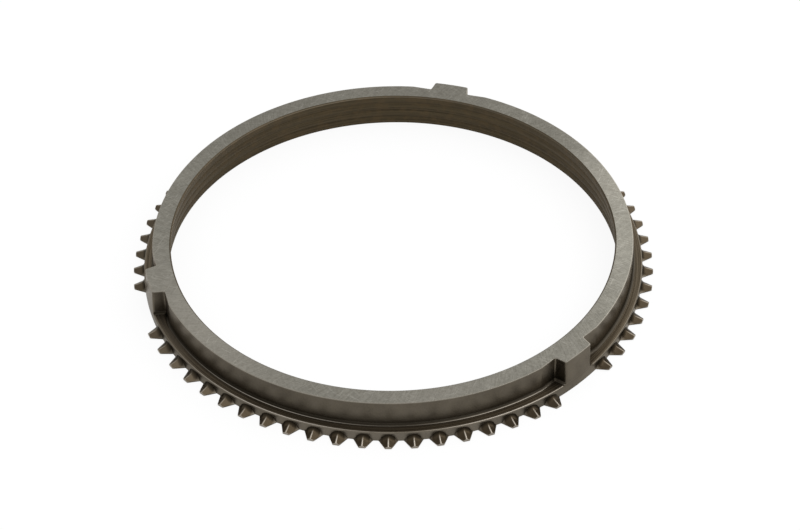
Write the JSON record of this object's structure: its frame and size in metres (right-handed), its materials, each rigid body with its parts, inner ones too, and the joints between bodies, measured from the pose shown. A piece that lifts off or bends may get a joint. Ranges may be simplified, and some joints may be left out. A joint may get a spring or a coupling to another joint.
{
  "type": "synchronizer ring",
  "caption": "Steel synchronizer ring for a gearbox, with a tapered friction bore, lugs on its wall and pointed dog teeth round its flange.",
  "frame": {"origin": "on the ring's axis, in its flat underside", "axes": "+Z along the axis towards the face of the lugs, +Y through one lug"},
  "size_m": [0.2014, 0.2004, 0.0152],
  "materials": {
    "steel": "dark phosphated and oiled steel, with a ground top face and edges worn bright"
  },
  "bodies": {
    "root": {"synchronizer_ring": "steel"}
  },
  "joints": []
}
